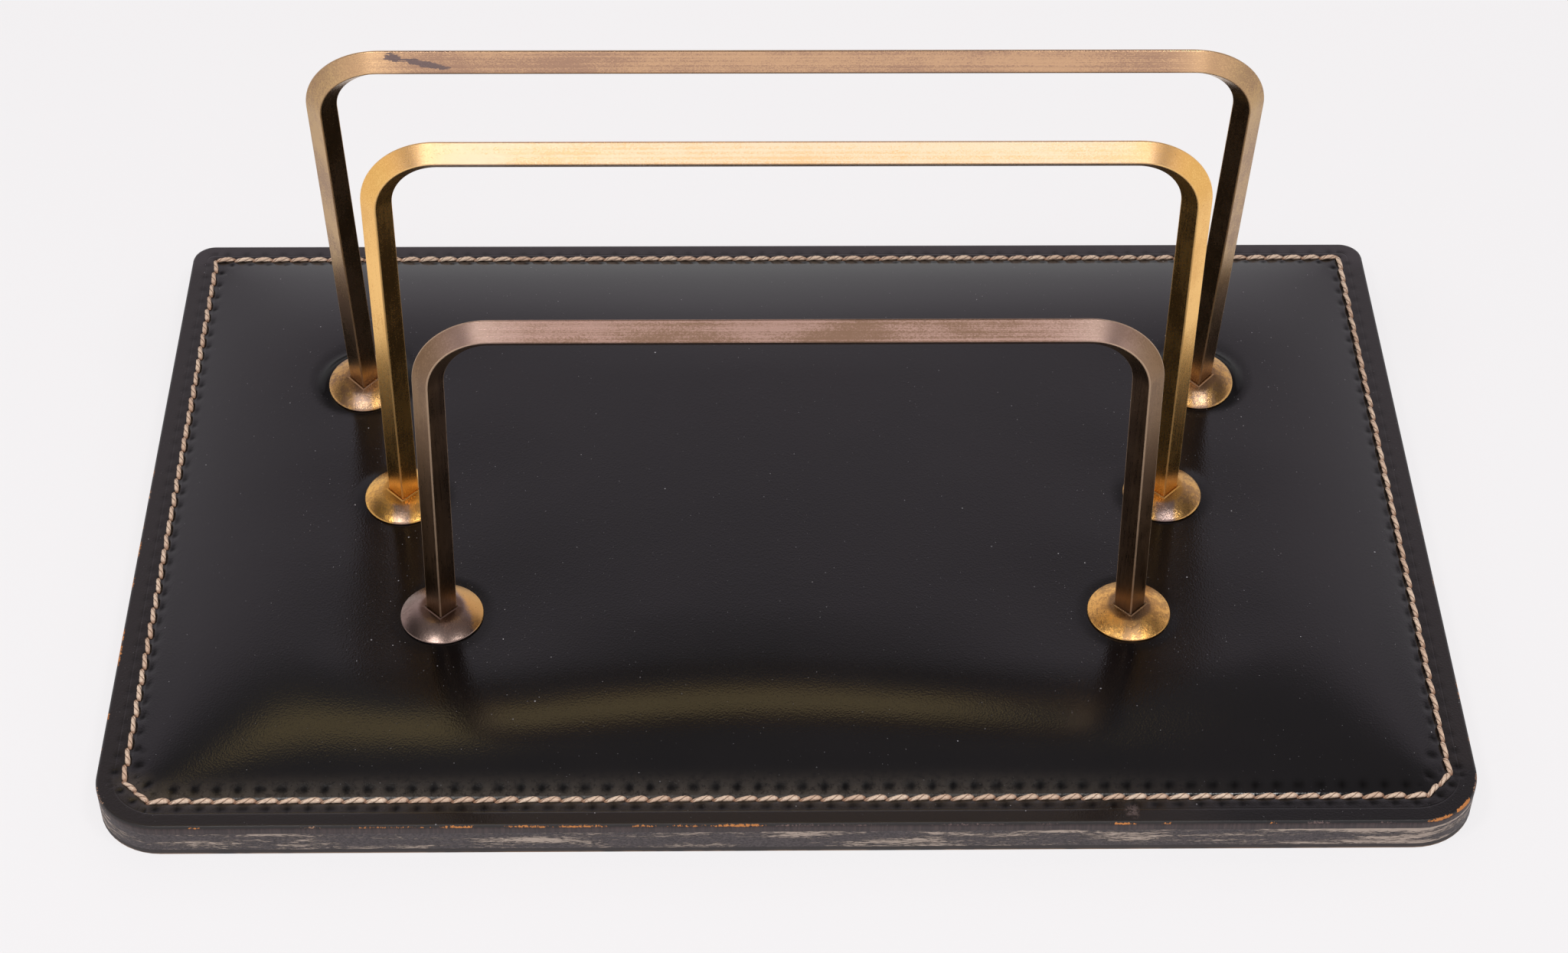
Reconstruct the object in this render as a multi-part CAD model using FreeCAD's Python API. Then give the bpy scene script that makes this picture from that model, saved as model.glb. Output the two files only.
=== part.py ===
import FreeCAD, Part
import math
import os
from collections import namedtuple

Vector = FreeCAD.Vector
UP = Vector(0, 0, 1)

# Layers of the base, from the lining up, and its outline, in millimetres.
base_width = 304.0
base_depth = 195.0
front_corner_radius = 15.0
rear_corner_radius = 5.5
lining_thickness = 1.4
board_thickness = 2.6
leather_thickness = 2.4

# Padded crown inside the stitch row: it rolls over from the row to a flat top.
crown_rise = 4.6
crown_roll = 34.0
crown_inset_shares = (0.0, 0.12, 0.3, 0.58, 1.0)
crown_rise_shares = (0.0, 0.27, 0.58, 0.88, 1.0)
crown_corner_growth_share = 0.45
crown_front_radius = 9.5
crown_rear_radius = 3.0

# Row of saddle stitches in its channel, cut off slantwise at the front corners.
stitch_front_inset = 7.1
stitch_side_inset = 6.2
stitch_rear_inset = 5.6
stitch_corner_cut = 6.0
channel_width = 2.4
channel_depth = 0.5
stitch_pitch = 4.75
stitch_fill_share = 0.82
stitch_slant_degrees = 17.0
thread_width = 1.15
thread_height = 0.8
thread_side_share = 0.4

# Square brass bar on the diamond, its arrises and its bends.
bar_side = 5.0
arris_radius = 0.3
bend_radius = 13.7

# Domed collars with a square socket for the foot of the leg, and the leather seats under them.
collar_rim = 0.5
collar_dome = 2.6
socket_floor = 1.2
socket_clearance = 0.1
seat_margin = 1.2

# Screws from below, their washers and the holes that they pass through.
shank_diameter = 3.0
thread_engagement = 6.0
thread_clearance = 0.05
tip_room = 1.0
hole_clearance = 0.25
head_diameter = 5.6
head_height = 1.7
slot_width = 0.9
slot_depth = 0.8
washer_diameter = 7.0
washer_thickness = 0.5
counterbore_clearance = 0.4
counterbore_depth = 3.3

# How far a cutting tool runs past the face that it cuts.
overrun = 6.0

# Each hoop: place of its feet behind the middle of the base, how far they stand in from its sides, how far
# the legs draw in on the way up, height of the bar's axis over the seat, lean to the rear in degrees, and the
# diameter of its collars.
rear_place = 37.8
rear_side_inset = 49.7
rear_draw_in = 0.0
rear_rise = 113.0
rear_lean_degrees = -9.5
rear_collar_diameter = 17.8

middle_place = -0.8
middle_side_inset = 62.0
middle_draw_in = 1.2
middle_rise = 105.5
middle_lean_degrees = -1.7
middle_collar_diameter = 18.6

front_place = -39.2
front_side_inset = 73.4
front_draw_in = 2.0
front_rise = 84.9
front_lean_degrees = 0.9
front_collar_diameter = 19.0

Hoop = namedtuple("Hoop", "place side_inset draw_in rise lean collar_diameter")
HOOPS = {
    "rear": Hoop(
        rear_place, rear_side_inset, rear_draw_in, rear_rise, rear_lean_degrees, rear_collar_diameter
    ),
    "middle": Hoop(
        middle_place,
        middle_side_inset,
        middle_draw_in,
        middle_rise,
        middle_lean_degrees,
        middle_collar_diameter,
    ),
    "front": Hoop(
        front_place, front_side_inset, front_draw_in, front_rise, front_lean_degrees, front_collar_diameter
    ),
}
SIDES = {"left": -1, "right": 1}

# Levels that follow from the layers.
lower_board_level = lining_thickness
upper_board_level = lower_board_level + board_thickness
cover_level = upper_board_level + board_thickness
margin_level = cover_level + leather_thickness
crown_level = margin_level + crown_rise


def around(radius, degrees):
    angle = math.radians(degrees)
    return Vector(radius * math.cos(angle), radius * math.sin(angle), 0)


def closed_wire(arcs):
    """Three-point arcs in order, joined by straight lines."""
    edges = []
    for index, arc in enumerate(arcs):
        following = arcs[(index + 1) % len(arcs)]
        edges.append(Part.Arc(*arc).toShape())
        edges.append(Part.makeLine(arc[-1], following[0]))
    return Part.Wire(edges)


def outline(level, front_inset, side_inset, rear_inset, front_radius, rear_radius):
    """Outline of the base at one level, drawn in from its front, sides and rear."""
    right = base_width / 2 - side_inset
    front = -base_depth / 2 + front_inset
    rear = base_depth / 2 - rear_inset
    corners = (
        (-right, front, front_radius, 180),
        (right, front, front_radius, 270),
        (right, rear, rear_radius, 0),
        (-right, rear, rear_radius, 90),
    )
    arcs = []
    for x, y, radius, start in corners:
        centre = Vector(x - math.copysign(radius, x), y - math.copysign(radius, y), level)
        arcs.append([centre + around(radius, start + step) for step in (0, 45, 90)])
    return closed_wire(arcs)


def plate(level, thickness):
    """A layer of the base, cut to the full outline."""
    edge = outline(level, 0, 0, 0, front_corner_radius, rear_corner_radius)
    return Part.Face(edge).extrude(UP * thickness)


def stitch_corners(level, shift):
    """Corners of the stitch row, moved inwards by shift, round from the left end of the front run."""
    right = base_width / 2 - stitch_side_inset - shift
    front = -base_depth / 2 + stitch_front_inset + shift
    rear = base_depth / 2 - stitch_rear_inset - shift
    cut = stitch_corner_cut - shift * (2 - math.sqrt(2))
    places = (
        (-right + cut, front),
        (right - cut, front),
        (right, front + cut),
        (right, rear),
        (-right, rear),
        (-right, front + cut),
    )
    return [Vector(x, y, level) for x, y in places]


def crown(level):
    """The padded form over one level: it springs from the channel and rolls over to a flat top."""
    sections = []
    for inset_share, rise_share in zip(crown_inset_shares, crown_rise_shares):
        roll = inset_share * crown_roll
        inset = channel_width / 2 + roll
        growth = roll * crown_corner_growth_share
        section = outline(
            level + rise_share * crown_rise,
            stitch_front_inset + inset,
            stitch_side_inset + inset,
            stitch_rear_inset + inset,
            crown_front_radius + growth,
            crown_rear_radius + growth,
        )
        sections.append(section)
    return Part.makeLoft(sections, True, False)


def foot_half_span(hoop):
    return base_width / 2 - hoop.side_inset


def seat_level(hoop):
    """Height of a collar's seat at its middle: the lowest point of its rim lies on the crown."""
    return crown_level + hoop.collar_diameter / 2 * math.sin(math.radians(abs(hoop.lean)))


def frame(hoop, x):
    """Seat of a leg, or of the whole hoop at x = 0: its own Z runs up along the leaning hoop."""
    turn = FreeCAD.Rotation(Vector(1, 0, 0), -hoop.lean)
    return FreeCAD.Placement(Vector(x, hoop.place, seat_level(hoop)), turn)


def placed(shape, place):
    return shape.transformed(place.toMatrix(), True)


def feet():
    """Name, hoop and seat of each of the six feet."""
    for row, hoop in HOOPS.items():
        for side, sign in SIDES.items():
            yield f"{row}_{side}", hoop, frame(hoop, sign * foot_half_span(hoop))


def at_feet(make):
    """What make gives for a hoop, placed at each of its feet."""
    return [placed(make(hoop), seat) for name, hoop, seat in feet()]


def disc(diameter, bottom, top):
    return Part.makeCylinder(diameter / 2, top - bottom, Vector(0, 0, bottom))


def diamond(side):
    """A square post on the diamond, from the floor of the socket up past the collar."""
    height = collar_rim + collar_dome + overrun
    post = Part.makeBox(side, side, height, Vector(-side / 2, -side / 2, socket_floor))
    post.rotate(Vector(), UP, 45)
    return post


def bearing_level(hoop):
    """Where the washer bears on the board, measured down from the seat."""
    return lower_board_level + counterbore_depth - seat_level(hoop)


def screw_hole(hoop):
    return disc(shank_diameter + 2 * hole_clearance, -seat_level(hoop), socket_floor + overrun)


def counterbore(hoop):
    width = washer_diameter + 2 * counterbore_clearance
    return disc(width, bearing_level(hoop) - counterbore_depth - overrun, bearing_level(hoop))


def collar_seat(hoop):
    """Round seat of leather under a collar, level with the collar's underside."""
    return disc(hoop.collar_diameter + 2 * seat_margin, -seat_level(hoop), 0)


def bottom_lining():
    return plate(0, lining_thickness)


def board(level):
    return plate(level, board_thickness).cut(at_feet(screw_hole) + at_feet(counterbore))


def padding():
    return crown(cover_level).cut(at_feet(screw_hole))


def stitch_field(shift):
    """The area inside the stitch row at the floor of its channel, with its edge moved inwards by shift."""
    corners = stitch_corners(margin_level - channel_depth, shift)
    return Part.Face(Part.makePolygon(corners + corners[:1]))


def stitch_channel():
    ring = stitch_field(-channel_width / 2).cut(stitch_field(channel_width / 2))
    return ring.extrude(UP * channel_depth)


def top_cover():
    """Leather over boards and padding, with its stitch channel and the seats of the collars."""
    above = plate(crown_level - leather_thickness / 2, crown_level)
    seats = [seat.common(above) for seat in at_feet(collar_seat)]
    sheet = plate(cover_level, leather_thickness).fuse([crown(margin_level)] + seats)
    return sheet.cut([crown(cover_level), stitch_channel()] + at_feet(screw_hole)).removeSplitter()


def stitch(length):
    """One stitch along X, flat below and rounded above."""
    half = thread_width / 2
    side = thread_height * thread_side_share
    start = -length / 2
    places = ((half, side), (half, 0), (-half, 0), (-half, side))
    corners = [Vector(start, y, z) for y, z in places]
    back = Part.Arc(corners[-1], Vector(start, 0, thread_height), corners[0]).toShape()
    profile = Part.Wire(Part.makePolygon(corners).Edges + [back])
    return Part.Face(profile).extrude(Vector(length, 0, 0))


def stitch_run(start, end):
    """Stitches at an even pitch along one straight run, all slanted the same way along it."""
    run = end - start
    count = max(1, round(run.Length / stitch_pitch))
    heading = math.degrees(math.atan2(run.y, run.x)) + stitch_slant_degrees
    turn = FreeCAD.Rotation(UP, heading)
    model = stitch(run.Length / count * stitch_fill_share)
    middles = [start + run * ((2 * index + 1) / (2 * count)) for index in range(count)]
    return [placed(model, FreeCAD.Placement(middle, turn)) for middle in middles]


def stitch_thread():
    """The whole row, run by run, on the floor of its channel."""
    corners = stitch_corners(margin_level - channel_depth, 0)
    stitches = []
    for start, end in zip(corners, corners[1:] + corners[:1]):
        stitches += stitch_run(start, end)
    return Part.makeCompound(stitches)


def bar_section(centre, outward):
    """Section of the bar, with one arris outwards in the hoop's plane and one to the front."""
    across = Vector(0, 1, 0)
    directions = [outward, across, -outward, -across]
    reach = bar_side / math.sqrt(2) - arris_radius * math.sqrt(2)
    arcs = []
    for index, direction in enumerate(directions):
        before = (direction + directions[index - 1]).normalize()
        after = (direction + directions[(index + 1) % len(directions)]).normalize()
        middle = centre + direction * reach
        arcs.append([middle + normal * arris_radius for normal in (before, direction, after)])
    return Part.Face(closed_wire(arcs))


def half_hoop(hoop):
    """Right leg, its bend and half of the bar, in the hoop's own frame."""
    foot = Vector(foot_half_span(hoop), 0, 0)
    corner = foot + Vector(-hoop.draw_in, 0, hoop.rise)
    rising = (corner - foot).normalize()
    outward = Vector(rising.z, 0, -rising.x)
    inward = Vector(-1, 0, 0)
    turn = rising.getAngle(inward)
    reach = bend_radius * math.tan(turn / 2)
    leg_end = corner - rising * reach
    bar_start = corner + inward * reach
    leg = bar_section(foot, outward).extrude(leg_end - foot)
    bend_centre = leg_end - outward * bend_radius
    bend = bar_section(leg_end, outward).revolve(bend_centre, Vector(0, -1, 0), math.degrees(turn))
    bar = bar_section(bar_start, UP).extrude(inward * bar_start.x)
    return leg.fuse([bend, bar])


def hoop_bar(hoop):
    """The bent bar, its feet trimmed flat for the sockets and bored for the screws."""
    right = half_hoop(hoop)
    whole = right.fuse(right.mirror(Vector(), Vector(1, 0, 0))).removeSplitter()
    width = 2 * (foot_half_span(hoop) + bar_side)
    trim = Part.makeBox(width, 2 * bar_side, overrun, Vector(-width / 2, -bar_side, socket_floor - overrun))
    bore = disc(shank_diameter + 2 * thread_clearance, 0, socket_floor + thread_engagement + tip_room)
    bores = [bore.translated(Vector(sign * foot_half_span(hoop), 0, 0)) for sign in SIDES.values()]
    return placed(whole.cut([trim] + bores), frame(hoop, 0))


def collar(hoop):
    """Domed disc with a square socket for the leg and a hole for the screw."""
    radius = hoop.collar_diameter / 2
    sphere_radius = (radius ** 2 + collar_dome ** 2) / (2 * collar_dome)
    ball = Part.makeSphere(sphere_radius, Vector(0, 0, collar_rim + collar_dome - sphere_radius))
    dome = disc(hoop.collar_diameter, 0, collar_rim + collar_dome).common(ball)
    return dome.cut([diamond(bar_side + 2 * socket_clearance), screw_hole(hoop)])


def screw(hoop):
    bearing = bearing_level(hoop) - washer_thickness
    head_base = bearing - head_height
    shank = disc(shank_diameter, bearing, socket_floor + thread_engagement)
    slot_place = Vector(-head_diameter, -slot_width / 2, head_base)
    slot = Part.makeBox(2 * head_diameter, slot_width, slot_depth, slot_place)
    return disc(head_diameter, head_base, bearing).cut(slot).fuse(shank).removeSplitter()


def washer(hoop):
    bearing = bearing_level(hoop)
    ring = disc(washer_diameter, bearing - washer_thickness, bearing)
    return ring.cut(screw_hole(hoop))


def pieces():
    """Every node of the rack by name."""
    nodes = {
        "bottom_lining": bottom_lining(),
        "lower_board": board(lower_board_level),
        "upper_board": board(upper_board_level),
        "padding": padding(),
        "top_cover": top_cover(),
        "stitch_thread": stitch_thread(),
        "fixing_screws": Part.makeCompound(at_feet(screw)),
        "fixing_washers": Part.makeCompound(at_feet(washer)),
    }
    for row, hoop in HOOPS.items():
        nodes[f"{row}_hoop"] = hoop_bar(hoop)
    for name, hoop, seat in feet():
        nodes[f"collar_{name}"] = placed(collar(hoop), seat)
    return nodes


os.makedirs("parts", exist_ok=True)
for node, shape in pieces().items():
    shape.exportStep(f"parts/{node}.step")
    print(node, len(shape.Solids), "solids, valid", shape.isValid(), "volume", round(shape.Volume, 1))
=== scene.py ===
import math
import random
from collections import namedtuple

import bpy
import numpy as np
from mathutils import Matrix, Vector


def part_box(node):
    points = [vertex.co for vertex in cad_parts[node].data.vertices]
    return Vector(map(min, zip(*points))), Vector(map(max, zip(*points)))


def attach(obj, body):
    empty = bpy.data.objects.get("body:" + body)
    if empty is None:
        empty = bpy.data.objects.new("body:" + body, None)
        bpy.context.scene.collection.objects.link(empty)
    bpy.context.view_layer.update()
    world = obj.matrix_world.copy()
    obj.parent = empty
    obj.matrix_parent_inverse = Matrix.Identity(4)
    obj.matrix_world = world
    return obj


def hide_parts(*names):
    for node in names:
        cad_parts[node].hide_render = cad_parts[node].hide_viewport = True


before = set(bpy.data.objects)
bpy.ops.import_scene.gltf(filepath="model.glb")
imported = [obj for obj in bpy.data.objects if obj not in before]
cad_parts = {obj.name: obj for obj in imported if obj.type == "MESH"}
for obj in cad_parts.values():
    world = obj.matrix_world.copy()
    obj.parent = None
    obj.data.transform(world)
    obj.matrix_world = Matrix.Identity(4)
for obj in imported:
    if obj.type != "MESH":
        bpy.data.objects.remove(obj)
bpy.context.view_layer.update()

# Base, in metres, with its outline and levels taken from the solids.
base_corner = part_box("bottom_lining")[1]
HALF_WIDTH = base_corner.x
HALF_DEPTH = base_corner.y
FRONT_RADIUS = 0.015
REAR_RADIUS = 0.0055
LEATHER = 0.0024
BOARD_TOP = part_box("upper_board")[1].z
MARGIN_TOP = BOARD_TOP + LEATHER
CROWN_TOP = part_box("padding")[1].z + LEATHER
RIM_ROUND = 0.0005
EDGE_LEVELS = 3

# Saddle-stitched row: insets from the edges, the slantwise corners at the front, and the channel.
FRONT_INSET = 0.0071
SIDE_INSET = 0.0062
REAR_INSET = 0.0056
CORNER_CUT = 0.006
CHANNEL_DEPTH = 0.00014
CHANNEL_FLOOR = MARGIN_TOP - CHANNEL_DEPTH
CHANNEL_REACH = 0.001
CHANNEL_REACH_INSIDE = 0.006

# Stitches: pitch, slant and thread, and how far one differs from the next.
PITCH = 0.00475
SLANT = math.radians(7)
STITCH_FILL = 1.08
THREAD_RADIUS = 0.00057
THREAD_OVAL = 0.12
STITCH_SIDES = 8
STITCH_SEAT = 0.00014
STITCH_WOBBLES = (-0.05, 0.05)
STITCH_LENGTHS = (0.97, 1.05)
STITCH_WIDTHS = (0.92, 1.08)
STITCH_HEIGHTS = (0.9, 1.05)
STITCH_TONES = (0.1, 1.0)

# Pits that the stitches draw in the leather, inside and outside the row. A phase of 1 is a whole stitch.
Pit = namedtuple("Pit", "inside width sharpness phase")
FRONT_PIT = Pit(0.0030, 0.0011, 1.6, 0.12)
SIDE_PIT = Pit(0.0019, 0.0008, 2.6, 0.12)
OUTER_PIT = Pit(-0.0021, 0.0009, 1.8, 0.45)
OUTER_PIT_SHARE = 0.3
OUTER_PIT_FRONT_SHARE = 0.5
PIT_DEPTH = 0.00018
FRONT_PIT_END = 0.022
FRONT_PIT_EASE = 0.006

# Pad under the leather: rolled edge and corners, swell and bulge between the collars, and its cloth.
PAD_ROLL = 0.034
PAD_CORNER = 0.005
PAD_SWELL = 0.0008
PAD_HOLD = 0.020
BULGE = 0.0016
BULGE_REACH = 0.052
BULGE_PLACE = -0.006
BULGE_WIDTH = 0.046
PAD_MESH = 0.003
PAD_FRAMES = 30
PAD_CLOTH = {
    "quality": 6,
    "mass": 0.3,
    "tension_stiffness": 10,
    "compression_stiffness": 10,
    "shear_stiffness": 5,
    "bending_stiffness": 1,
    "tension_damping": 25,
    "compression_damping": 25,
    "shear_damping": 25,
    "air_damping": 5,
    "use_pressure": True,
    "uniform_pressure_force": 125.0,
}

# Seats of the collars: gap, ease, and the rougher ring of painted shade, fainter where a collar lies
# level.
SEAT_GAP = 0.00004
SEAT_EASE = 0.0018
SHADE_RING_REACH = 1.6
SHADE_RING_LEVEL_SHARE = 0.4
SHADE_RING_FULL_RISE = 0.0015

# Wear, dust and a three-cornered tear.
WEAR_FLAT = 0.0005
WEAR_REACH = 0.0025
DUST_EVERYWHERE = 0.35
DUST_REACH = 0.012
NICK = np.array([(0.0731, -0.0938), (0.0764, -0.0912), (0.0752, -0.0968)])
NICK_EASE = 0.0004
NICK_SPREAD = 0.4

# Brass: square bar on the diamond, its arrises and bends, and the domed collars.
BAR_SIDE = 0.005
ARRIS = 0.0003
BEND_RADIUS = 0.0137
BEND_STEPS = 20
COLLAR_RIM = 0.0005
COLLAR_DOME = 0.0026
SOCKET_FLOOR = 0.0012
SOCKET_SIDE = 0.00504
SOCKET_CHAMFER = 0.0002
SOCKET_BEAD = 0.00022
COLLAR_SIDES = 64
COLLAR_BREAK = 0.00012
COLLAR_STEPS = 14
COLLAR_TOP_RADIUS = 0.0049

# Stage and camera, whose focal length is in the photograph's pixels.
FLOOR_SIZE = 8.0
FLOOR_LEVEL = -0.0001
FLOOR_PAPER = (0.88, 0.87, 0.875, 1)
FLOOR_EVEN = (0.955, 0.94, 0.948, 1)
FLOOR_EVEN_SHARE = 0.8
SENSOR_WIDTH = 36.0
FOCAL_LENGTH = 4094.4
PHOTO_WIDTH = 2048
CAMERA_PLACE = (-0.010934, -0.532142, 0.536651)
VIEW_RIGHT = Vector((0.9998847, -0.0130526, 0.0077602))
VIEW_DOWN = Vector((-0.0035325, -0.6969491, -0.7171119))

# Angle past which an edge stays sharp, distances that count as none, and millimetres in a metre.
SHARP = math.radians(50)
TINY = 1e-6
SMALL = 1e-5
MILLIMETRES = 1000

Hoop = namedtuple("Hoop", "place foot_half_span draw_in rise lean collar_radius")
HOOPS = {
    "rear": Hoop(0.0378, 0.1023, 0.0, 0.113, math.radians(-9.5), 0.0089),
    "middle": Hoop(-0.0008, 0.09, 0.0012, 0.1055, math.radians(-1.7), 0.0093),
    "front": Hoop(-0.0392, 0.0786, 0.002, 0.0849, math.radians(0.9), 0.0095),
}
SIDES = {"left": -1, "right": 1}

random.seed(11)


def seat_level(hoop):
    return CROWN_TOP + hoop.collar_radius * math.sin(abs(hoop.lean))


def stand(hoop, x=0.0):
    """Matrix from a hoop's own frame, Z up along the leaning hoop, to its place on the base."""
    return Matrix.Translation((x, hoop.place, seat_level(hoop))) @ Matrix.Rotation(-hoop.lean, 4, "X")


# Modelling helpers


def begin(piece):
    """Makes a piece the only selected one and opens it for editing."""
    bpy.ops.object.select_all(action="DESELECT")
    piece.select_set(True)
    bpy.context.view_layer.objects.active = piece
    bpy.ops.object.mode_set(mode="EDIT")


def done():
    bpy.ops.object.mode_set(mode="OBJECT")


def primitive(add, name, **sizes):
    """Adds a primitive with nothing else selected, named, and open for editing."""
    bpy.ops.object.select_all(action="DESELECT")
    add(**sizes)
    piece = bpy.context.object
    piece.name = name
    piece.data.name = name
    bpy.ops.object.mode_set(mode="EDIT")
    return piece


def extrude(vector):
    bpy.ops.mesh.extrude_region_move(TRANSFORM_OT_translate={"value": vector})


def draw_edges(vector):
    """Draws the selected edges out to new faces."""
    bpy.ops.mesh.extrude_edges_move(TRANSFORM_OT_translate={"value": vector})


def scale_about(centre, x=1.0, y=1.0, z=1.0):
    bpy.ops.transform.resize(value=(x, y, z), center_override=centre)


def pick_edges(action):
    """Goes over to edges, in edit mode, and selects all or none of them."""
    bpy.ops.mesh.select_mode(type="EDGE")
    bpy.ops.mesh.select_all(action=action)


def pick_open_edges():
    """Selects, in edit mode, the edges that border only one face."""
    pick_edges("DESELECT")
    bpy.ops.mesh.select_non_manifold(
        extend=False, use_wire=False, use_multi_face=False, use_non_contiguous=False
    )


def finish_mesh(piece, smooth=math.radians(35)):
    """Merges doubles, turns normals outwards and shades a finished mesh."""
    bpy.ops.mesh.select_all(action="SELECT")
    bpy.ops.mesh.remove_doubles(threshold=TINY)
    bpy.ops.mesh.normals_make_consistent(inside=False)
    done()
    bpy.ops.object.shade_smooth_by_angle(angle=smooth)


def modify(piece, kind, **settings):
    """Adds a modifier and applies it at once."""
    modifier = piece.modifiers.new(kind.title(), kind)
    for name, value in settings.items():
        setattr(modifier, name, value)
    bpy.context.view_layer.objects.active = piece
    bpy.ops.object.modifier_apply(modifier=modifier.name)


def settle(piece, place):
    """Puts a piece's place into its mesh and leaves its object at the origin."""
    piece.data.transform(place @ piece.matrix_basis)
    piece.matrix_basis = Matrix.Identity(4)
    piece.data.update()


def hand_over(piece, slot, material, *nodes):
    """The piece takes a finish, rides on the base and stands for its solids."""
    piece.data.materials.clear()
    piece.data.materials.append(material)
    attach(piece, "root")
    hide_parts(*nodes)


def points_of(piece):
    places = np.empty(len(piece.data.vertices) * 3)
    piece.data.vertices.foreach_get("co", places)
    return places.reshape(-1, 3)


def set_points(piece, places):
    piece.data.vertices.foreach_set("co", places.ravel())
    piece.data.update()


def attribute(piece, name, values):
    layer = piece.data.attributes.new(name, "FLOAT", "POINT")
    layer.data.foreach_set("value", np.asarray(values, np.float32))


# Shader expressions


class Value:
    """A socket of a finish. Sums, products and powers of values add Math nodes."""

    def __init__(self, finish, socket):
        self.finish = finish
        self.socket = socket

    def math(self, operation, first, second=0.0):
        return self.finish.node("ShaderNodeMath", {"operation": operation}, {0: first, 1: second})

    def __add__(self, other):
        return self.math("ADD", self, other)

    def __radd__(self, other):
        return self.math("ADD", other, self)

    def __sub__(self, other):
        return self.math("SUBTRACT", self, other)

    def __rsub__(self, other):
        return self.math("SUBTRACT", other, self)

    def __mul__(self, other):
        return self.math("MULTIPLY", self, other)

    def __rmul__(self, other):
        return self.math("MULTIPLY", other, self)

    def __truediv__(self, other):
        return self.math("DIVIDE", self, other)

    def __pow__(self, other):
        return self.math("POWER", self, other)

    def __abs__(self):
        return self.math("ABSOLUTE", self)

    def least(self, other):
        return self.math("MINIMUM", self, other)

    def most(self, other):
        return self.math("MAXIMUM", self, other)


class Finish:
    """A material, or the world, in the making."""

    def __init__(self, owner):
        self.owner = bpy.data.materials.new(owner) if isinstance(owner, str) else owner
        self.owner.use_nodes = True
        self.tree = self.owner.node_tree
        self.tree.nodes.clear()
        self.place = self.node("ShaderNodeTexCoord", output="Object")

    def node(self, kind, settings=None, inputs=None, output=0):
        """Adds a node: first its settings, then the values or links of its sockets."""
        made = self.tree.nodes.new(kind)
        for name, setting in (settings or {}).items():
            if name == "stops":
                self.set_stops(made.color_ramp, setting)
            else:
                setattr(made, name, setting)
        for name, given in (inputs or {}).items():
            if isinstance(given, Value):
                self.tree.links.new(given.socket, made.inputs[name])
            else:
                made.inputs[name].default_value = given
        return Value(self, made.outputs[output])

    @staticmethod
    def set_stops(ramp, stops):
        while len(ramp.elements) < len(stops):
            ramp.elements.new(1.0)
        for element, (position, colour) in zip(ramp.elements, stops):
            element.position = position
            element.color = (*colour, 1.0)

    def axis(self, name, vector=None):
        return self.node("ShaderNodeSeparateXYZ", None, {0: vector or self.place}, output=name)

    def noise(self, scale, detail=2.0, rough=0.5, distortion=0.0):
        """Clouds at one scale, or at one for each axis."""
        place = self.place
        if isinstance(scale, tuple):
            place = self.node("ShaderNodeVectorMath", {"operation": "MULTIPLY"}, {0: place, 1: scale})
            scale = 1.0
        inputs = {"Vector": place, "Scale": scale, "Detail": detail, "Roughness": rough}
        return self.node("ShaderNodeTexNoise", None, {**inputs, "Distortion": distortion})

    def cells(self, scale, output="Distance", feature="F1"):
        inputs = {"Vector": self.place, "Scale": scale}
        return self.node("ShaderNodeTexVoronoi", {"feature": feature}, inputs, output=output)

    def ramp(self, value, low, high):
        """0 below low and 1 above high, eased between; low may be the larger one."""
        settings = {"interpolation_type": "SMOOTHSTEP"}
        inputs = {"Value": value, "From Min": low, "From Max": high, "To Min": 0.0, "To Max": 1.0}
        return self.node("ShaderNodeMapRange", settings, inputs)

    def mix(self, factor, first, second):
        """From the first colour to the second."""
        inputs = {0: factor}
        for index, colour in ((6, first), (7, second)):
            inputs[index] = colour if isinstance(colour, Value) else (*colour, 1.0)
        return self.node("ShaderNodeMix", {"data_type": "RGBA"}, inputs, output=2)

    def power_of_e(self, value):
        return self.node("ShaderNodeMath", {"operation": "EXPONENT"}, {0: value})

    def bell(self, value, width):
        """1 where the value is zero, falling off on both sides."""
        return self.power_of_e((value / width) ** 2.0 * -1.0)

    def lap(self, sharpness):
        """1 at every stitch hole, falling off between."""
        across, along = self.attribute("lap_cos"), self.attribute("lap_sin")
        facing = across / (across * across + along * along) ** 0.5
        return self.power_of_e((facing - 1.0) * sharpness)

    def attribute(self, name):
        return self.node("ShaderNodeAttribute", {"attribute_name": name}, output="Fac")

    def bump(self, height, distance, strength=1.0):
        inputs = {"Height": height, "Distance": distance, "Strength": strength}
        return self.node("ShaderNodeBump", None, inputs)

    def close(self, share=None, other=None, **sockets):
        """Joins colour, roughness and the rest to the shader, and mixes in a share of another one.
        Underscores stand for spaces."""
        inputs = {name.replace("_", " "): given for name, given in sockets.items()}
        shader = self.node("ShaderNodeBsdfPrincipled", None, inputs)
        if other:
            shader = self.node("ShaderNodeMixShader", None, {0: share, 1: shader, 2: other})
        self.node_output(shader)
        return self.owner

    def node_output(self, shader, kind="ShaderNodeOutputMaterial"):
        output = self.tree.nodes.new(kind)
        self.tree.links.new(shader.socket, output.inputs["Surface"])


# Finishes

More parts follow.
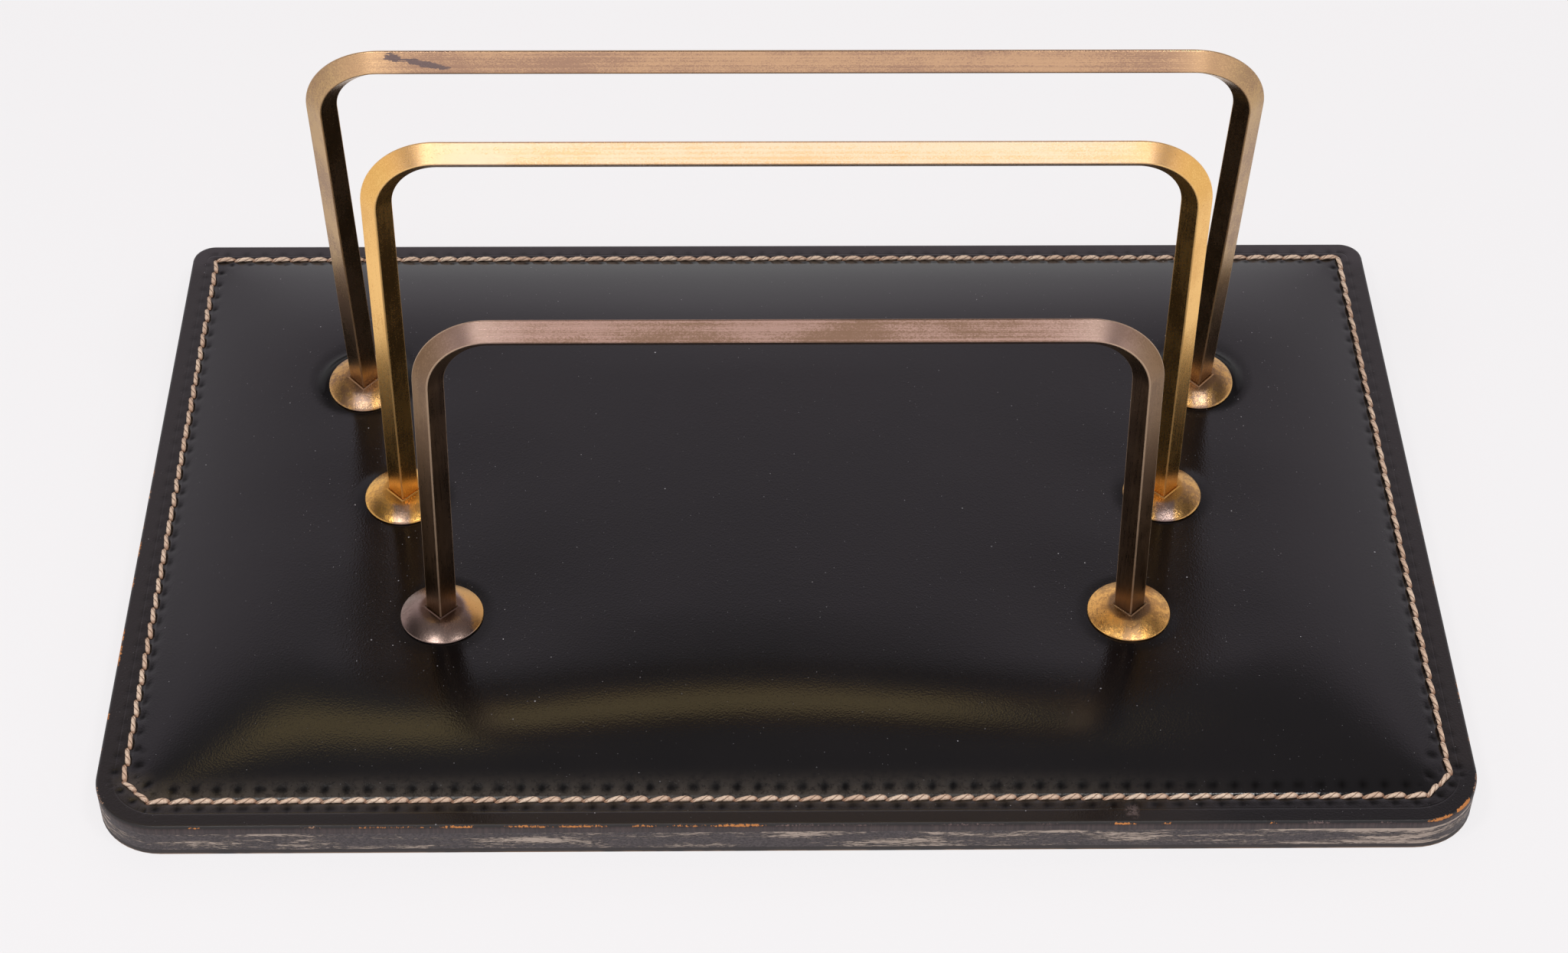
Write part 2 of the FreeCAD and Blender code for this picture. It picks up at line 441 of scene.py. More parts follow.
# Colours of the cover, its cut edge and its marks.
HIDE_DARK = (0.0024, 0.0021, 0.0024)
HIDE_PALE = (0.0040, 0.0032, 0.0037)
MARGIN_BROWN = (0.0130, 0.0100, 0.0088)
MARGIN_REAR = (0.0270, 0.0220, 0.0230)
# Painted highlight: olive glints on the ridges between the pits along the front.
RIDGE_GLINT_OLIVE = (0.050, 0.040, 0.030)
# Painted shade in the pits and in the stitch holes.
PIT_SHADE_BLACK = (0.0012, 0.0009, 0.0010)
HOLE_SHADE_BLACK = (0.0015, 0.0012, 0.0012)
# Painted shade, mixed in as a dark diffuse over the pits and round the collars.
PAINTED_SHADE_BLACK = (0.004, 0.0035, 0.0035)
CUT_DARK = (0.034, 0.025, 0.026)
CUT_PALE = (0.068, 0.048, 0.046)
WORN_GREY = (0.15, 0.105, 0.098)
WORN_TAN = (0.42, 0.245, 0.15)
WORN_ORANGE = (0.58, 0.225, 0.060)
TORN_BROWN = (0.120, 0.085, 0.078)
DUST_GREY = (0.50, 0.50, 0.52)

# Colours of the thread, the boards, the lining and the steel.
THREAD_DARK = (0.72, 0.51, 0.36)
THREAD_PALE = (0.93, 0.75, 0.57)
THREAD_FIBRE = (0.50, 0.30, 0.20)
# Painted shade in the groove between the plies.
THREAD_GROOVE_SHADE = (0.22, 0.125, 0.075)
THREAD_END = (0.27, 0.125, 0.062)
BOARD_DARK = (0.030, 0.024, 0.026)
BOARD_MOTTLE = (0.094, 0.077, 0.078)
BOARD_PALE = (0.44, 0.36, 0.295)
LINING_DARK = (0.023, 0.019, 0.019)
LINING_PALE = (0.048, 0.039, 0.037)
LINING_TAN = (0.26, 0.17, 0.105)
STEEL_DARK = (0.46, 0.46, 0.47)
STEEL_PALE = (0.58, 0.58, 0.58)

# Marks on the brass.
BAR_SPECK = (0.10, 0.065, 0.045)
BAR_STAIN = (0.150, 0.110, 0.100)
# Painted reflection of the leg, on the dome in front of each collar's foot.
COLLAR_LEG_REFLECTION = (0.255, 0.190, 0.180)
COLLAR_BRIGHT = (0.62, 0.34, 0.105)
COLLAR_SPECK = (0.085, 0.05, 0.03)
COLLAR_SCRATCH = (0.10, 0.06, 0.035)

# Bands over which a finish changes, in metres, from none of the change to all of it.
FRONT_BAND = (-0.080, -0.085)
REAR_BAND = (0.086, 0.092)
RIGHT_BAND = (0.085, 0.100)
RIDGE_GLINT_BAND = (0.115, 0.03)
SIDE_BAND = (0.1475, 0.1490)
BOARD_BAND = (0.03, 0.13)
LINING_BAND = (0.0004, 0.0001)
JOINT = 0.0004

# Along a bar, from the inner end of its bend: start and end of the leg's tone, and the pale bend,
# a painted highlight where the patina is also rubbed off.
LEG_START = -0.003
LEG_END = 0.011
BEND_HIGHLIGHT_MIDDLE = 0.004
BEND_HIGHLIGHT_WIDTH = 0.009

# Stain of the rear bar, in millimetres across and up.
STAIN_ACROSS = -79.4
STAIN_UP = 127.9


def leather_edge(make):
    """Colour of the leather's cut edge: smooth dark brown with a faint upright grain."""
    grain = make.noise((1700, 1700, 90), detail=3, rough=0.7)
    return make.mix(make.ramp(grain, 0.35, 0.7), CUT_DARK, CUT_PALE)


def dust_specks(make, scale, threshold, size):
    """Shares of dust specks of mixed size and paleness, one in a few of the cells of a pattern."""
    distance = make.cells(scale)
    chosen = make.cells(scale, output="Color")
    gathered = make.axis("X", chosen) + make.attribute("dust") * 0.45
    lying = make.ramp(gathered, threshold, threshold + 0.005)
    reach = make.axis("Y", chosen) ** 4.0 * 0.10 + size
    paleness = make.axis("Z", chosen) ** 2.0 * 0.8 + 0.2
    return make.ramp(distance, reach, reach * 0.6) * lying * paleness


def margin_tones(make, colour, row, rim):
    """Colour with the browner margin outside the stitches and a painted olive highlight on the ridges
    between the pits along the front, and the share of that painted highlight."""
    front = make.ramp(make.axis("Y"), *FRONT_BAND)
    margin = make.ramp(row, 0.0, -0.8)
    aside = make.ramp(make.axis("X"), *RIGHT_BAND) * front
    colour = make.mix(margin * (1 - aside * 0.85), colour, MARGIN_BROWN)
    colour = make.mix(margin * make.ramp(make.axis("Y"), *REAR_BAND), colour, MARGIN_REAR)
    # Painted highlight on the ridges between the pits along the front row, fading out to the right.
    glint_zone = make.bell(row - 1.4, 3.4) * front * make.ramp(make.axis("X"), *RIDGE_GLINT_BAND)
    glint_zone = glint_zone * make.ramp(rim, 3.2, 3.9)
    ridge_glint = make.ramp(make.noise(900, detail=4, rough=0.7), 0.20, 0.55) * glint_zone
    return make.mix(ridge_glint * 0.9, colour, RIDGE_GLINT_OLIVE), ridge_glint


def rim_wear(make, rim):
    """Share and colour of the chips along the rim that have rubbed through to grey, tan and orange."""
    chips = make.noise(1500, detail=5, rough=0.75)
    side = make.ramp(abs(make.axis("X")), *SIDE_BAND)
    near = make.bell(rim - 0.02, 0.28).most(make.bell(rim - 0.15, 0.5) * side)
    score = make.attribute("wear") + (chips - 0.5) * 1.6 + near * 0.42
    worn = make.ramp(score, 0.83, 0.87) * make.ramp(near, 0.08, 0.14)
    hue = make.attribute("scuff_hue") + (make.noise(300) - 0.5) * 0.9
    tan = make.mix(make.ramp(hue, 0.2, 0.5), WORN_GREY, WORN_TAN)
    return worn, make.mix(make.ramp(hue, 0.55, 0.85), tan, WORN_ORANGE)


def cover_leather():
    """Smooth black leather, drawn in at each hole, dusty, with tan wear where its edge has rubbed through.
    It has painted shade in its holes and pits and round the collars, and a painted olive highlight on the
    ridges along the front. The attributes row and rim are in millimetres."""
    make = Finish("cover_leather")
    row, rim = make.attribute("row"), make.attribute("rim")
    pit, seat = make.attribute("pit"), make.attribute("seat")
    hole = make.lap(7.0) * make.bell(row, 0.6)
    crease = make.bell(rim - 3.8, 0.14)
    grain = make.cells(2500, feature="SMOOTH_F1") * 0.016 + make.noise(5200) * 0.005
    dents = make.noise(42) * 0.04
    height = grain + dents - hole * 0.08 - crease * 0.03
    tone = make.noise(26, detail=3, rough=0.6)
    colour = make.mix(make.ramp(tone, 0.35, 0.7), HIDE_DARK, HIDE_PALE)
    colour, ridge_glint = margin_tones(make, colour, row, rim)
    # Painted shade in the pits and the stitch holes.
    colour = make.mix((pit * 1.5).least(1.0), colour, PIT_SHADE_BLACK)
    colour = make.mix((hole * 1.6).least(1.0), colour, HOLE_SHADE_BLACK)
    below = make.ramp(rim, 0.02, -0.12)
    colour = make.mix(below, colour, leather_edge(make))
    worn, tan = rim_wear(make, rim)
    colour = make.mix(worn, colour, tan)
    dust = dust_specks(make, 640, 1.07, 0.06).most(dust_specks(make, 1500, 1.05, 0.10) * 0.6)
    colour = make.mix(dust * 0.9, colour, DUST_GREY)
    torn = make.attribute("nick") * make.ramp(make.noise(1300, detail=4, rough=0.75), 0.36, 0.60)
    colour = make.mix(torn, colour, TORN_BROWN)
    rubbed = make.bell(rim, 0.5) * 0.4 + seat * 0.1
    rough = 0.125 + make.noise(90, detail=3) * 0.04 + rubbed + below * 0.45 + worn * 0.4 + ridge_glint * 0.16
    rough = rough + dust * 0.5 + torn * 0.4
    # Painted shade: a dark diffuse mixed in over the pits and over the ring round each collar.
    painted_shade = (pit * 0.75).most(seat * 0.7)
    shade = make.node("ShaderNodeBsdfDiffuse", None, {"Color": (*PAINTED_SHADE_BLACK, 1)})
    return make.close(
        painted_shade,
        shade,
        Base_Color=colour,
        Roughness=rough,
        Specular_IOR_Level=0.5,
        Normal=make.bump(height, 0.001),
    )


def linen_thread():
    """Waxed thread: two plies that turn round each other, with painted shade in the groove between them,
    darker at the holes.
    """
    make = Finish("linen_thread")
    lay = make.node("ShaderNodeUVMap", {"uv_map": "lay"})
    along, around = make.axis("X", lay), make.axis("Y", lay)
    turn = (around * 2 + along * 2.2) * math.pi
    ply = abs(make.node("ShaderNodeMath", {"operation": "SINE"}, {0: turn}))
    fibre = make.noise(2400, detail=4, rough=0.75)
    end = make.ramp(abs(along - 0.52) + (fibre - 0.5) * 0.25, 0.26, 0.50)
    cream = make.mix(make.attribute("tone"), THREAD_DARK, THREAD_PALE)
    cream = make.mix(make.ramp(fibre, 0.46, 0.66) * 0.6, cream, THREAD_FIBRE)
    # Painted shade in the groove between the two plies.
    colour = make.mix(make.ramp(ply, 0.45, 0.0), cream, THREAD_GROOVE_SHADE)
    colour = make.mix(end * 0.85, colour, THREAD_END)
    normal = make.bump(ply + fibre * 0.3, 0.0002, 0.7)
    return make.close(Base_Color=colour, Roughness=0.72, Normal=normal)


def fibre_board():
    """Raw edge of the boards: dark and mottled, rubbed pale in thin ragged streaks."""
    make = Finish("fibre_board")
    mottle = make.noise((1500, 1500, 3600), detail=4, rough=0.75)
    streaks = make.noise((420, 420, 5200), detail=5, rough=0.72, distortion=0.4)
    area = make.noise((55, 55, 600))
    colour = make.mix(make.ramp(mottle, 0.38, 0.62), BOARD_DARK, BOARD_MOTTLE)
    right = make.ramp(make.axis("X"), *BOARD_BAND) * 0.03
    joint = make.bell(make.axis("Z") - (BOARD_TOP - JOINT), JOINT)
    pale = make.ramp(streaks + (area - 0.5) * 0.75 + joint * 0.06 + right, 0.545, 0.590)
    colour = make.mix(pale, colour, BOARD_PALE)
    return make.close(Base_Color=colour, Roughness=0.6, Normal=make.bump(mottle + pale, 0.00012))


def lining_leather():
    """Thin lining, dark with a tan lower edge."""
    make = Finish("lining_leather")
    edge = make.ramp(make.axis("Z"), *LINING_BAND)
    tone = make.noise(160, detail=3)
    colour = make.mix(tone, LINING_DARK, LINING_PALE)
    colour = make.mix(edge * make.ramp(tone, 0.3, 0.6), colour, LINING_TAN)
    return make.close(Base_Color=colour, Roughness=0.7, Normal=make.bump(make.cells(1200), 0.0001, 0.5))


def fixing_steel():
    make = Finish("fixing_steel")
    turned = make.noise(900)
    colour = make.mix(turned, STEEL_DARK, STEEL_PALE)
    return make.close(Base_Color=colour, Metallic=1.0, Roughness=0.34 + turned * 0.14)


# The bend tone and its share, and the arris tone, are painted highlight on metal that is also rubbed
# bright.
Tones = namedtuple("Tones", "bar leg dull dull_share rough bend bend_share arris oxide")
HOOP_TONES = {
    "rear": Tones(
        (0.455, 0.290, 0.168), (0.47, 0.305, 0.145), (0.30, 0.182, 0.125), 0.85, 0.20,
        (0.90, 0.585, 0.29), 0.65, (0.55, 0.38, 0.22), 0.05,
    ),
    # The middle bar's pale cream, whiter than its legs, is partly a painted highlight.
    "middle": Tones(
        (0.83, 0.60, 0.40), (0.98, 0.585, 0.185), (0.70, 0.35, 0.075), 0.5, 0.20,
        (0.98, 0.63, 0.26), 0.3, (0.95, 0.66, 0.30), 0.06,
    ),
    "front": Tones(
        (0.345, 0.220, 0.177), (0.215, 0.122, 0.052), (0.160, 0.092, 0.050), 0.8, 0.25,
        (0.48, 0.345, 0.285), 0.7, (0.80, 0.60, 0.42), 0.15,
    ),
}


def drawn_brass(row):
    """Drawn bar under an uneven patina: fine lines, clouds, dark specks and other tones on legs. Bends and
    arrises are paler, a painted highlight where the metal is also rubbed bright.
    """
    tones, hoop = HOOP_TONES[row], HOOPS[row]
    make = Finish(f"{row}_brass")
    aside = abs(make.axis("X"))
    inner = hoop.foot_half_span - hoop.draw_in - BEND_RADIUS
    leg = make.ramp(aside, inner + LEG_START, inner + LEG_END)
    # Painted highlight on the bend, where the patina is also rubbed off.
    bend = make.bell(aside - (inner + BEND_HIGHLIGHT_MIDDLE), BEND_HIGHLIGHT_WIDTH) * tones.bend_share
    bar_lines = make.noise((9, 2400, 2400), detail=3, rough=0.6)
    leg_lines = make.noise((2400, 2400, 9), detail=3, rough=0.6)
    lines = leg_lines * leg * 0.5 + bar_lines * (1 - leg) + leg * 0.25
    cloud = make.noise((38, 120, 60), detail=4, rough=0.65)
    mottle = make.noise((2300, 3400, 3400), detail=4, rough=0.8)
    patina = make.ramp(cloud + (mottle - 0.5) * 1.2 + (lines - 0.5) * 0.7, 0.36, 0.66)
    colour = make.mix(leg, tones.bar, tones.leg)
    colour = make.mix(bend, colour, tones.bend)
    tarnish = patina * tones.dull_share * (1 - bend)
    colour = make.mix(tarnish, colour, tones.dull)
    specks = make.ramp(make.noise(820, detail=4, rough=0.8), 0.66, 0.72)
    colour = make.mix(specks * 0.6, colour, BAR_SPECK)
    if row == "rear":
        colour = make.mix(rear_stain(make, lines), colour, BAR_STAIN)
    # Painted highlight along the broken arrises of the legs and bends, on metal that is also rubbed
    # bright.
    arris = make.attribute("arris") * leg
    colour = make.mix(arris * 0.45, colour, tones.arris)
    rough = tones.rough + patina * 0.07 + specks * 0.15 + lines * 0.05 + arris * 0.25
    metal = 1 - tarnish * tones.oxide
    normal = make.bump(lines * 0.7 + mottle * 0.3, 0.000016)
    return make.close(Base_Color=colour, Metallic=metal, Roughness=rough, Normal=normal)


def rear_stain(make, lines):
    """A ragged dark stain near the left end of the rear bar: a block, then a streak down to the middle."""
    along = make.axis("X") * MILLIMETRES - STAIN_ACROSS
    down = make.axis("Z") * MILLIMETRES - STAIN_UP + along * 0.15
    block = make.bell(along + 5.6, 2.3) * make.bell(down - 0.1, 0.95)
    streak = make.bell(along - 1.2, 6.4) * make.bell(down, 0.70)
    ragged = make.noise((800, 2100, 2100), detail=5, rough=0.8)
    return make.ramp(block.most(streak) + (ragged - 0.5) * 1.5 + (lines - 0.5) * 0.5, 0.52, 0.56)


# The fifth field is each collar's share of the painted reflection of its leg.
Patina = namedtuple("Patina", "gold dull foot share wedge rough marks")
COLLAR_PATINA = {
    "front_left": Patina(
        (0.27, 0.195, 0.165), (0.185, 0.130, 0.108), (0.11, 0.066, 0.046), 0.5, 0.0, 0.24, 0.3
    ),
    "front_right": Patina(
        (0.88, 0.48, 0.135), (0.42, 0.225, 0.082), (0.16, 0.10, 0.06), 0.75, 0.3, 0.24, 1.2
    ),
    "middle_left": Patina(
        (0.84, 0.47, 0.12), (0.42, 0.235, 0.09), (0.55, 0.28, 0.06), 0.6, 0.8, 0.22, 0.8
    ),
    "middle_right": Patina(
        (0.66, 0.375, 0.12), (0.30, 0.175, 0.09), (0.50, 0.26, 0.06), 0.75, 0.9, 0.24, 0.8
    ),
    "rear_left": Patina(
        (0.58, 0.335, 0.12), (0.30, 0.175, 0.10), (0.26, 0.15, 0.08), 0.85, 0.6, 0.25, 1.0
    ),
    "rear_right": Patina(
        (0.61, 0.35, 0.12), (0.30, 0.18, 0.10), (0.26, 0.15, 0.08), 0.8, 0.5, 0.24, 0.7
    ),
}


def collar_brass(name):
    """Turned brass of one collar: gold with brown clouds, dark specks and stains round it, and a painted
    reflection of the leg before it.
    """
    tones = COLLAR_PATINA[name]
    make = Finish(f"collar_{name}_brass")
    across, back = make.attribute("across"), make.attribute("back")
    reach = (across * across + back * back) ** 0.5
    cloud = make.noise(230, detail=4, rough=0.7)
    mottle = make.noise(1300, detail=5, rough=0.8)
    patina = make.ramp(cloud + (mottle - 0.5) * 0.9, 0.42, 0.62) * tones.share
    colour = make.mix(patina, tones.gold, tones.dull)
    # Painted reflection of the leg: a narrow wedge from the foot towards the front rim.
    painted_reflection = make.ramp(back, -0.05, -0.35) * make.ramp(abs(across + (cloud - 0.5) * 0.3), 0.30, 0.16)
    colour = make.mix(painted_reflection * tones.wedge, colour, COLLAR_LEG_REFLECTION)
    if name == "front_left":
        bright = across - 0.62 + back * 0.42 + back * back * 0.2
        bright = bright + (cloud - 0.5) * 0.25 + (mottle - 0.5) * 0.2
        colour = make.mix(make.ramp(bright, -0.06, 0.10) * 0.9, colour, COLLAR_BRIGHT)
    specks = make.ramp(make.noise(1050, detail=4, rough=0.8), 0.62, 0.69)
    colour = make.mix(specks * 0.75 * tones.marks, colour, COLLAR_SPECK)
    scratches = make.noise((2200, 180, 180), distortion=1.2)
    scratches = make.ramp(abs(scratches - 0.5), 0.012, 0.004) * 0.55
    colour = make.mix(scratches * tones.marks, colour, COLLAR_SCRATCH)
    foot = make.ramp(reach + (mottle - 0.5) * 0.12, 0.60, 0.46)
    colour = make.mix(foot * 0.85, colour, tones.foot)
    rough = tones.rough + patina * 0.08 + specks * 0.15
    normal = make.bump(mottle + cloud, 0.00005 * tones.marks)
    return make.close(Base_Color=colour, Metallic=1.0, Roughness=rough, Normal=normal)


# The stitch row, as runs between the corners of its line.


def row_corners():
    right = HALF_WIDTH - SIDE_INSET
    front = FRONT_INSET - HALF_DEPTH
    rear = HALF_DEPTH - REAR_INSET
    cut = CORNER_CUT
    places = (
        (cut - right, front),
        (right - cut, front),
        (right, front + cut),
        (right, rear),
        (-right, rear),
        (-right, front + cut),
    )
    return [np.array(place) for place in places]


def row_runs():
    """Start, direction, length and number of stitches of each straight run, round from the front left."""
    corners = row_corners()
    for start, end in zip(corners, corners[1:] + corners[:1]):
        run = end - start
        length = np.linalg.norm(run)
        yield start, run / length, length, max(1, round(length / PITCH))


def row_measure(places):
    """Distance inside the stitch row, negative outside it, and the phase along it, whole at each hole."""
    nearest = np.full(len(places), np.inf)
    inside = np.full(len(places), np.inf)
    phase = np.zeros(len(places))
    for start, along, length, count in row_runs():
        offset = places[:, :2] - start
        travel = offset @ along
        depth = along[0] * offset[:, 1] - along[1] * offset[:, 0]
        beyond = travel - np.clip(travel, 0, length)
        distance = np.hypot(depth, beyond)
        closer = distance < nearest
        nearest = np.where(closer, distance, nearest)
        phase = np.where(closer, travel / length * count, phase)
        inside = np.minimum(inside, depth)
    return np.where(inside > 0, nearest, -nearest), phase


def rim_distance(places):
    """Distance inside the rounded outline of the base."""
    radius = np.where(places[:, 1] < 0, FRONT_RADIUS, REAR_RADIUS)
    beyond_x = np.abs(places[:, 0]) - (HALF_WIDTH - radius)
    beyond_y = np.abs(places[:, 1]) - (HALF_DEPTH - radius)
    corner = np.hypot(np.maximum(beyond_x, 0), np.maximum(beyond_y, 0))
    return radius - corner - np.minimum(np.maximum(beyond_x, beyond_y), 0)


# Leather cover


def grid_lines(half):
    """Places of the grid lines across the base, close together at the rim and the stitches. Each band of
    distance from the edge has its own step."""
    bands = (
        (0.0, 0.0009, 0.0002),
        (0.0009, 0.0125, 0.00037),
        (0.0125, 0.026, 0.0008),
        (0.026, half, 0.00112),
    )
    distances = [0.0]
    for low, high, step in bands:
        count = round((high - low) / step)
        distances += [low + (high - low) * (index + 1) / count for index in range(count)]
    left = np.array(distances) - half
    return np.concatenate([left, -left[-2::-1]])


def rounded(places):
    """Draws the corners of a rectangular grid in to the rounded outline."""
    radius = np.where(places[:, 1] < 0, FRONT_RADIUS, REAR_RADIUS)
    signs = np.sign(places[:, :2])
    centre = np.array([HALF_WIDTH, HALF_DEPTH]) - radius[:, None]
    local = np.maximum(np.abs(places[:, :2]) - centre, 0) / radius[:, None]
    disc = local * np.sqrt(1 - local[:, ::-1] ** 2 / 2)
    inner = np.minimum(np.abs(places[:, :2]), centre)
    places[:, :2] = signs * (inner + disc * radius[:, None])
    return places


def fading(distance, width):
    """1 at no distance, falling off on both sides."""
    return np.exp(-((distance / width) ** 2))


def eased(share):
    """A share held between 0 and 1, with soft ends."""
    share = np.clip(share, 0, 1)
    return share * share * (3 - 2 * share)


def collar_reaches(places):
    """For each collar its hoop, and how far behind its middle and outside its rim the places lie."""
    for hoop in HOOPS.values():
        for sign in SIDES.values():
            across = places[:, 0] - sign * hoop.foot_half_span
            back = places[:, 1] - hoop.place
            yield hoop, back, np.hypot(across, back) - hoop.collar_radius


def collar_plane(hoop, back):
    """Level of a collar's underside at a distance behind its middle."""
    return seat_level(hoop) - back * math.tan(hoop.lean)


def pad_box():
    corners = np.array(row_corners())
    return corners.min(axis=0), corners.max(axis=0)


def pad_depth(places):
    """Distance in from the stitch row, eased round the corners of the pad."""
    low, high = pad_box()
    ways = np.column_stack([places[:, :2] - low, high - places[:, :2]])
    return -PAD_CORNER * np.log(np.exp(-ways / PAD_CORNER).sum(axis=1))


def pad_level(places):
    """Top of the pad: a little swollen, and held down by the collars."""
    free = np.ones(len(places))
    for _, _, reach in collar_reaches(places):
        free *= 1 - fading(np.maximum(reach, 0), PAD_HOLD)
    return CROWN_TOP + PAD_SWELL * free


def padded_panel():
    """The leather inside the stitch row, drawn over the pad: held at its stitches and on the pad's level
    top, and blown out between them by cloth pressure."""
    low, high = pad_box()
    columns, rows = np.rint((high - low) / PAD_MESH).astype(int)
    panel = primitive(
        bpy.ops.mesh.primitive_grid_add,
        "panel",
        size=1.0,
        x_subdivisions=int(columns),
        y_subdivisions=int(rows),
    )
    done()
    places = points_of(panel)
    places[:, :2] = places[:, :2] * (high - low) + (low + high) / 2
    climb = np.clip(pad_depth(places) / PAD_ROLL, 0, 1)
    places[:, 2] = MARGIN_TOP + (pad_level(places) - MARGIN_TOP) * climb
    set_points(panel, places)
    held = panel.vertex_groups.new(name="held")
    fast = (row_measure(places)[0] < PAD_MESH / 2) | (climb >= 1)
    held.add([int(index) for index in np.flatnonzero(fast)], 1.0, "REPLACE")
    cloth = panel.modifiers.new("Pad", "CLOTH")
    for name, value in PAD_CLOTH.items():
        setattr(cloth.settings, name, value)
    cloth.settings.vertex_group_mass = held.name
    cloth.settings.effector_weights.gravity = 0
    cloth.collision_settings.use_collision = False
    scene = bpy.context.scene
    cloth.point_cache.frame_start = 1
    cloth.point_cache.frame_end = PAD_FRAMES
    for number in range(1, PAD_FRAMES + 1):
        scene.frame_set(number)
    bpy.context.view_layer.objects.active = panel
    bpy.ops.object.modifier_apply(modifier=cloth.name)
    scene.frame_set(1)
    modify(panel, "SMOOTH", factor=0.5, iterations=4)
    modify(panel, "SUBSURF", levels=2, render_levels=2)
    return panel


def bulge(places):
    """The pad stands a little higher between the collars, in the middle of the base."""
    climb = eased(pad_depth(places) / BULGE_REACH)
    return BULGE * climb * fading(places[:, 0] - BULGE_PLACE, BULGE_WIDTH)


def seats(places, height):
    """Presses the leather to the underside of each collar."""
    for hoop, back, reach in collar_reaches(places):
        plane = collar_plane(hoop, back) - SEAT_GAP
        ease = SEAT_EASE + np.abs(plane - height)
        blend = eased(reach / ease)
        height = np.where(reach < ease, plane * (1 - blend) + height * blend, height)
    return height


def seat_shade_rings(places):
    """Shares of the painted shade close round each collar, wider where the collar stands higher."""
    share = np.zeros(len(places))
    for hoop, back, reach in collar_reaches(places):
        rise = np.maximum(collar_plane(hoop, back) - CROWN_TOP, 0)
        shade = SHADE_RING_LEVEL_SHARE + (1 - SHADE_RING_LEVEL_SHARE) * np.clip(rise / SHADE_RING_FULL_RISE, 0, 1)
        share = np.maximum(share, shade * np.clip(SHADE_RING_REACH - reach / (SEAT_EASE + rise), 0, 1))
    return share


def pit_row(inside, phase, pit):
    """Shares of one kind of pit, all along the stitch row."""
    past_hole = np.cos(2 * math.pi * (phase - pit.phase))
    return np.exp(pit.sharpness * (past_hole - 1)) * fading(inside - pit.inside, pit.width)


def pits(places):
    """Shares of the small pits that the stitches draw in the leather: past each hole inside the row, and
    under the middle of each stitch outside it."""
    inside, phase = row_measure(places)
    front = np.clip((FRONT_PIT_END - HALF_DEPTH - places[:, 1]) / FRONT_PIT_EASE, 0, 1)
    front_pits, side_pits = pit_row(inside, phase, FRONT_PIT), pit_row(inside, phase, SIDE_PIT)
    outer_share = OUTER_PIT_SHARE + OUTER_PIT_FRONT_SHARE * front
    outer_pits = pit_row(inside, phase, OUTER_PIT) * outer_share
    return np.maximum(np.where(front > 0, front_pits, side_pits), outer_pits)


def relief(places):
    """Height of the stitched leather: bulge, channel, pits, rounded rim and collar seats."""
    inside, _ = row_measure(places)
    height = places[:, 2] + bulge(places)
    height -= CHANNEL_DEPTH * fading(inside, np.where(inside > 0, CHANNEL_REACH_INSIDE, CHANNEL_REACH))
    height -= PIT_DEPTH * pits(places)
    slack = np.clip(RIM_ROUND - rim_distance(places), 0, RIM_ROUND)
    height -= RIM_ROUND - np.sqrt(RIM_ROUND ** 2 - slack ** 2)
    return seats(places, height)


Scuff = namedtuple("Scuff", "x y reach amount hue")
FRONT, SIDE = -HALF_DEPTH, HALF_WIDTH
SCUFFS = (
    Scuff(-0.1290, FRONT, 0.0020, 0.42, 1.0),
    Scuff(-0.1035, FRONT, 0.0030, 0.38, 0.5),
    Scuff(-0.0860, FRONT, 0.0120, 0.37, 1.0),
    Scuff(-0.0715, FRONT, 0.0045, 0.50, 1.0),
    Scuff(-0.0570, FRONT, 0.0060, 0.48, 1.0),
    Scuff(-0.0450, FRONT, 0.0070, 0.48, 1.0),
    Scuff(-0.0315, FRONT, 0.0040, 0.44, 1.0),
    Scuff(-0.0225, FRONT, 0.0060, 0.40, 0.8),
    Scuff(-0.0110, FRONT, 0.0065, 0.55, 1.0),
    Scuff(0.0020, FRONT, 0.0065, 0.44, 0.1),
    Scuff(0.0140, FRONT, 0.0100, 0.38, 0.0),
    Scuff(0.0400, FRONT, 0.0120, 0.38, 0.1),
    Scuff(0.0560, FRONT, 0.0035, 0.42, 0.0),
    Scuff(0.0725, FRONT, 0.0032, 0.52, 1.0),
    Scuff(0.0820, FRONT, 0.0018, 0.42, 0.8),
    Scuff(0.1050, FRONT, 0.0018, 0.42, 0.9),
    Scuff(0.1150, FRONT, 0.0045, 0.44, 0.0),
    Scuff(0.1300, FRONT, 0.0025, 0.42, 0.1),
    Scuff(0.1420, -0.0962, 0.0034, 0.66, 1.0),
    Scuff(0.1475, -0.0930, 0.0030, 0.82, 1.0),
    Scuff(0.1515, -0.0860, 0.0040, 0.40, 0.4),
    Scuff(SIDE, -0.0740, 0.0016, 0.40, 0.8),
    Scuff(SIDE, -0.0610, 0.0018, 0.46, 0.9),
    Scuff(SIDE, -0.0572, 0.0018, 0.46, 0.9),
    Scuff(SIDE, -0.0255, 0.0025, 0.40, 0.6),
    Scuff(SIDE, -0.0095, 0.0018, 0.38, 0.6),
    Scuff(SIDE, -0.0010, 0.0020, 0.42, 0.8),
    Scuff(-SIDE, -0.0752, 0.0016, 0.40, 0.5),
    Scuff(-SIDE, -0.0655, 0.0018, 0.50, 1.0),
    Scuff(-SIDE, -0.0460, 0.0048, 0.56, 1.0),
    Scuff(-SIDE, -0.0405, 0.0030, 0.48, 1.0),
    Scuff(-SIDE, -0.0240, 0.0025, 0.46, 0.9),
    Scuff(-SIDE, -0.0130, 0.0035, 0.48, 1.0),
    Scuff(-SIDE, -0.0050, 0.0020, 0.40, 0.6),
    Scuff(-SIDE, 0.0050, 0.0025, 0.42, 0.6),
    Scuff(-SIDE, 0.0130, 0.0020, 0.42, 0.7),
    Scuff(-0.1490, -0.0890, 0.0050, 0.40, 0.5),
)


